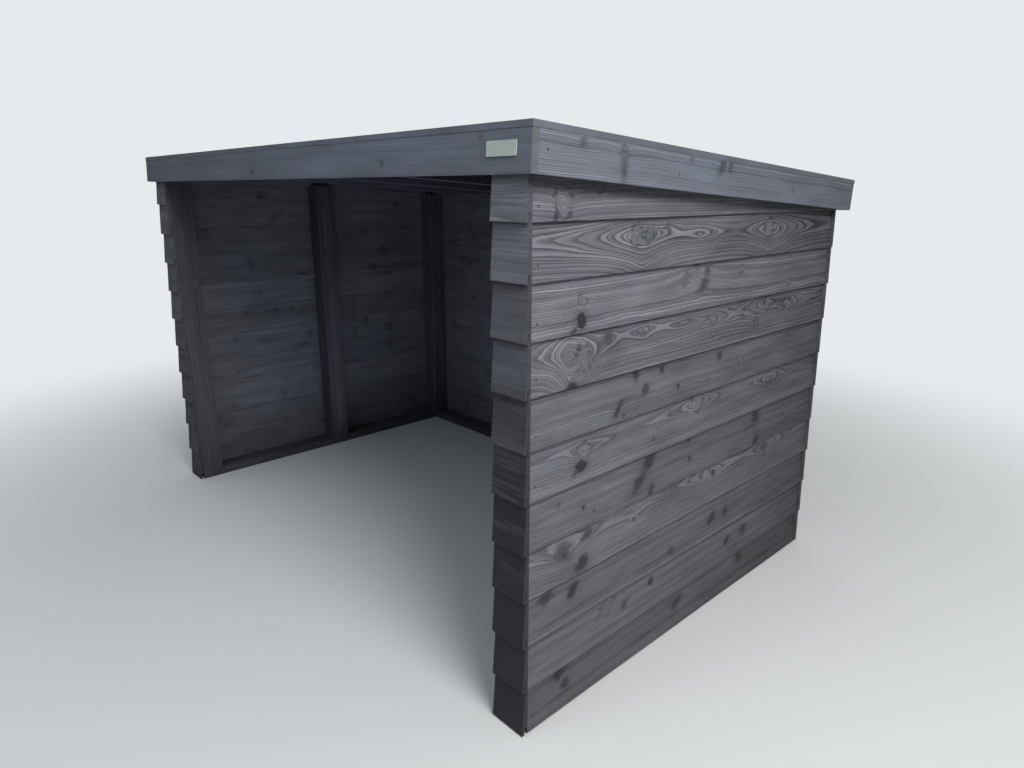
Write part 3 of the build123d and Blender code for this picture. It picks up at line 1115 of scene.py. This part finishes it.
def dress_sheets():
    """The roof's deck, membrane and edge trims, and the plate on the front fascia."""
    dress("roof_deck", timber_material("deck_sheets", ROOF_TIMBER_LOOK, "X", DECK_PITH, SHEET_RING))
    dress("roof_membrane", plain_material("membrane", **MEMBRANE_LOOK))
    trim_coat = plain_material("edge_trim", **TRIM_LOOK)
    for side in ("front", "back", "left", "right"):
        dress(f"edge_trim_{side}", trim_coat)
    dress("front_plate", plain_material("plate", **PLATE_LOOK))


# Floor, light and camera

def make_floor():
    """A pale floor that fades, far from the shelter, into the pale background."""
    mesh = bpy.data.meshes.new("floor")
    corners = [(x * FLOOR_REACH, y * FLOOR_REACH, 0) for x, y in ((-1, -1), (1, -1), (1, 1), (-1, 1))]
    mesh.from_pydata(corners, [], [(0, 1, 2, 3)])
    floor = bpy.data.objects.new("floor", mesh)
    bpy.context.scene.collection.objects.link(floor)
    material, g, shader = new_material("floor")
    shader.inputs["Base Color"].default_value = (*FLOOR_COLOUR, 1.0)
    shader.inputs["Roughness"].default_value = FLOOR_ROUGH
    shader.inputs["Specular IOR Level"].default_value = FLOOR_GLOSS
    glow = g.add("ShaderNodeEmission")
    glow.inputs["Color"].default_value = (*BACKGROUND, 1.0)
    blend = g.add("ShaderNodeMixShader")
    distance = g.vector("LENGTH", g.object_point())
    share = g.times(g.ease(distance, *FLOOR_FADE), g.camera_ray())
    g.put_all((share, shader.outputs[0], glow.outputs[0]), blend.inputs)
    g.put(blend.outputs[0], material.node_tree.nodes["Material Output"].inputs["Surface"])
    floor.data.materials.append(material)


def make_world():
    """A soft sky, paler overhead, behind which the camera sees the plain background."""
    world = bpy.data.worlds.new("studio")
    world.use_nodes = True
    g = Graph(world.node_tree)
    shine = world.node_tree.nodes["Background"]
    seen = g.camera_ray()
    height = g.split(g.add("ShaderNodeTexCoord").outputs["Generated"])[2]
    sky = g.ease(height, 0.0, SKY_TOP, SKY_LOW, SKY_HIGH)
    g.put(g.plus(g.times(sky, g.minus(1.0, seen)), seen), shine.inputs["Strength"])
    g.put(g.mix(seen, SKY_COLOUR, BACKGROUND), shine.inputs["Color"])
    bpy.context.scene.world = world


def make_lamp(name, place, target, size, power, colour):
    """A round lamp that the camera doesn't see, aimed at its target."""
    lamp = bpy.data.lights.new(name, "AREA")
    lamp.shape = "DISK"
    lamp.size = size
    lamp.energy = power
    lamp.color = colour
    thing = bpy.data.objects.new(name, lamp)
    thing.location = place
    thing.rotation_euler = (Vector(target) - Vector(place)).to_track_quat("-Z", "Y").to_euler()
    thing.visible_camera = False
    bpy.context.scene.collection.objects.link(thing)


def make_camera():
    camera = bpy.data.cameras.new("camera")
    camera.sensor_width = SENSOR_WIDTH
    camera.lens = LENS_IN_PIXELS / IMAGE_WIDTH * SENSOR_WIDTH
    thing = bpy.data.objects.new("camera", camera)
    aim = (
        Matrix.Rotation(CAMERA_TURN, 4, "Z")
        @ Matrix.Rotation(math.pi / 2 - CAMERA_PITCH, 4, "X")
        @ Matrix.Rotation(CAMERA_ROLL, 4, "Z")
    )
    thing.matrix_world = Matrix.Translation(CAMERA_PLACE) @ aim
    bpy.context.scene.collection.objects.link(thing)
    bpy.context.scene.camera = thing


# The shelter

stained_ends = board_material("stained_ends", END_LOOK)
board_wood = (board_material("stained_boards", BOARD_LOOK), stained_ends)
return_wood = (board_material("stained_returns", RETURN_LOOK), stained_ends)
fascia_wood = (
    board_material("stained_fascias", FASCIA_LOOK), board_material("fascia_ends", FASCIA_END_LOOK),
)
nail_metal = plain_material("nail_heads", **NAIL_LOOK)

right_wall = clad(
    "wall_boards_right", "cladding_right", "right", step=0.016, row_step=0.0085, seed=11,
    materials=board_wood, grains=NEAR_WALL, fade=NEAR_WALL_PAINTED_SHADE,
)
left_wall = clad(
    "wall_boards_left", "cladding_left", "left", step=0.020, row_step=0.012, seed=12,
    materials=board_wood,
)
back_wall = clad(
    "wall_boards_back", "cladding_back", "back", step=0.024, row_step=0.012, seed=13,
    materials=board_wood,
)
# The returns' two tones are painted shade, darker towards the bottom
clad(
    "return_boards_right", "cladding_return_right", "front", step=0.010, row_step=0.010, seed=14,
    materials=return_wood, painted_shade_tones=(-0.70, 0.40),
)
clad(
    "return_boards_left", "cladding_return_left", "front", step=0.010, row_step=0.010, seed=15,
    materials=return_wood, painted_shade_tones=(-0.30, 0.25),
)

fascia("fascia_board_front", "fascia_front", "X", 21, fascia_wood, ACROSS_GRAIN)
fascia("fascia_board_back", "fascia_back", "X", 22, fascia_wood, ACROSS_GRAIN)
fascia("fascia_board_left", "fascia_left", "Y", 23, fascia_wood, dict(SIDE_GRAIN, tone=0.06))
# Painted shade: the right fascia's tone darkens towards its back end, as the near wall's boards do
fascia(
    "fascia_board_right", "fascia_right", "Y", 24, fascia_wood, dict(SIDE_GRAIN, tone=0.10, fade=0.05),
)

right_posts = ("post_front_right", "post_mid_right", "post_back_right")
left_posts = ("post_front_left", "post_mid_left", "post_back_left")
back_posts = ("post_back_left", "post_rear_1", "post_rear_2", "post_back_right")
nail_boards("nails_right", right_wall, right_posts, nail_metal, seed=41)
nail_boards("nails_left", left_wall, left_posts, nail_metal, seed=41)
nail_boards("nails_back", back_wall, back_posts, nail_metal, seed=41)
nail_fascias(nail_metal, seed=42)
screw_plate(plain_material("screw_heads", **SCREW_LOOK), seed=43)

dress_timbers()
dress_sheets()

make_floor()
make_world()
for lamp in LAMPS:
    make_lamp(**lamp)
make_camera()

bpy.context.scene.view_settings.view_transform = "Standard"
